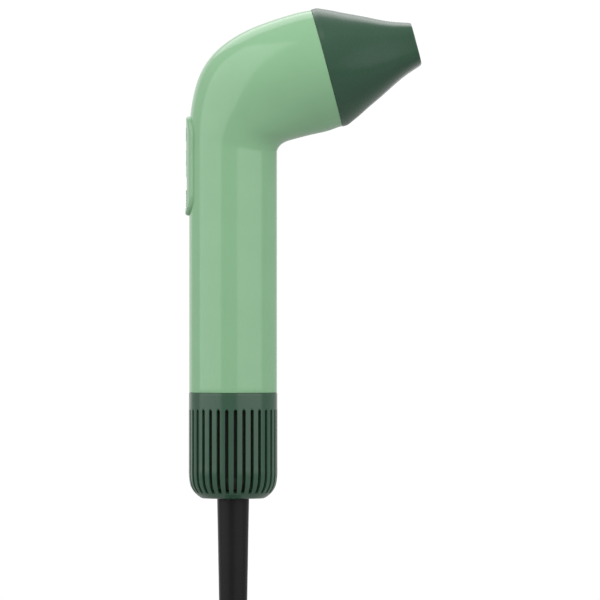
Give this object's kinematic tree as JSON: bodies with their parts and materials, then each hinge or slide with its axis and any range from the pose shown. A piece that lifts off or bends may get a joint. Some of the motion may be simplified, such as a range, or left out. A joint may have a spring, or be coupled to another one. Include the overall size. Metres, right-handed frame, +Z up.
{
  "type": "hair dryer",
  "caption": "Corded hand-held hair dryer with bent tube body, turning concentrator nozzle, slotted intake cage, back control pad and black cord guard.",
  "frame": {"origin": "on the handle's axis, at the middle of the grip", "axes": "+X the way the air leaves, +Z up along the handle, Y across the body"},
  "size_m": [0.1153, 0.0708, 0.5151],
  "materials": {
    "shell_green": "satin moulded plastic, sage green",
    "dark_green": "satin moulded plastic, dark green",
    "button_green": "soft-touch plastic",
    "black_rubber": "satin black thermoplastic rubber",
    "black_plastic": "matte black plastic",
    "white_plastic": "matte heat-resistant plastic",
    "steel": "brushed steel",
    "magnet": "nickel plated",
    "mica": "flaky mica sheet",
    "nichrome": "drawn resistance wire",
    "copper": "enamelled copper",
    "board": "solder-masked circuit board",
    "mesh": "black nylon mesh",
    "light": "frosted light pipe",
    "aluminium": "milled aluminium",
    "fabric": "hook and loop strap",
    "lead": "silicone insulated lead"
  },
  "bodies": {
    "body": {"housing_left": "shell_green", "housing_right": "shell_green", "control_pad": "shell_green", "indicator_lights": "light", "control_board": "board", "slide_switch": "black_plastic", "tact_switches": "black_plastic", "outlet_ring": "black_plastic", "outlet_screws": "steel", "outlet_magnets": "magnet", "outlet_grille": "black_plastic", "heater_frame": "mica", "heater_element": "nichrome", "heater_sleeve": "mica", "thermostat": "steel", "thermal_fuse": "aluminium", "ion_module": "black_plastic", "motor_duct": "white_plastic", "motor_tail_cone": "white_plastic", "stator_core": "steel", "stator_windings": "copper", "motor_bearings": "steel", "motor_board": "board", "damper_lower": "black_rubber", "damper_upper": "black_rubber", "main_board": "board", "main_capacitor": "black_plastic", "heat_sink": "aluminium", "mains_leads": "lead", "heater_leads": "lead", "base_chassis": "black_plastic", "base_screws": "steel", "base_magnets": "magnet", "cord_clamp": "black_plastic", "clamp_screws": "steel", "cord_guard": "black_rubber", "cord_sheath_end": "black_rubber", "cord_lead_in": "black_rubber", "cord_hank": "black_rubber", "cord_tie": "fabric", "cord_tail": "black_rubber", "plug_body": "black_rubber", "plug_pins": "magnet"},
    "rotor": {"motor_shaft": "steel", "rotor_magnet": "magnet", "impeller": "aluminium"},
    "cage": {"intake_cage": "dark_green", "cage_ring": "steel", "filter_frame": "black_plastic", "filter_mesh": "mesh"},
    "slider": {"power_slider": "button_green"},
    "speed": {"speed_button": "button_green"},
    "heat": {"heat_button": "button_green"},
    "collar": {"nozzle_collar": "steel"},
    "nozzle": {"nozzle_shell": "dark_green"}
  },
  "joints": [
    {"name": "rotor_spin", "type": "hinge", "parent": "body", "child": "rotor", "pos_m": [0, 0, 0], "axis": [0, 0, 1], "continuous": true},
    {"name": "cage_pull", "type": "slide", "parent": "body", "child": "cage", "axis": [0, 0, -1], "range_m": [0, 0.054]},
    {"name": "power_slide", "type": "slide", "parent": "body", "child": "slider", "axis": [0, 0, 1], "range_m": [0, 0.006]},
    {"name": "speed_press", "type": "slide", "parent": "body", "child": "speed", "axis": [1, 0, 0], "range_m": [0, 0.0008], "stiffness_N_per_m": 800},
    {"name": "heat_press", "type": "slide", "parent": "body", "child": "heat", "axis": [1, 0, 0], "range_m": [0, 0.0008], "stiffness_N_per_m": 800},
    {"name": "nozzle_pull", "type": "slide", "parent": "body", "child": "collar", "axis": [0.9659, 0, 0.2588], "range_m": [0, 0.03]},
    {"name": "nozzle_turn", "type": "hinge", "parent": "collar", "child": "nozzle", "pos_m": [0.0448, 0, 0.1132], "axis": [0.9659, 0, 0.2588], "continuous": true}
  ]
}
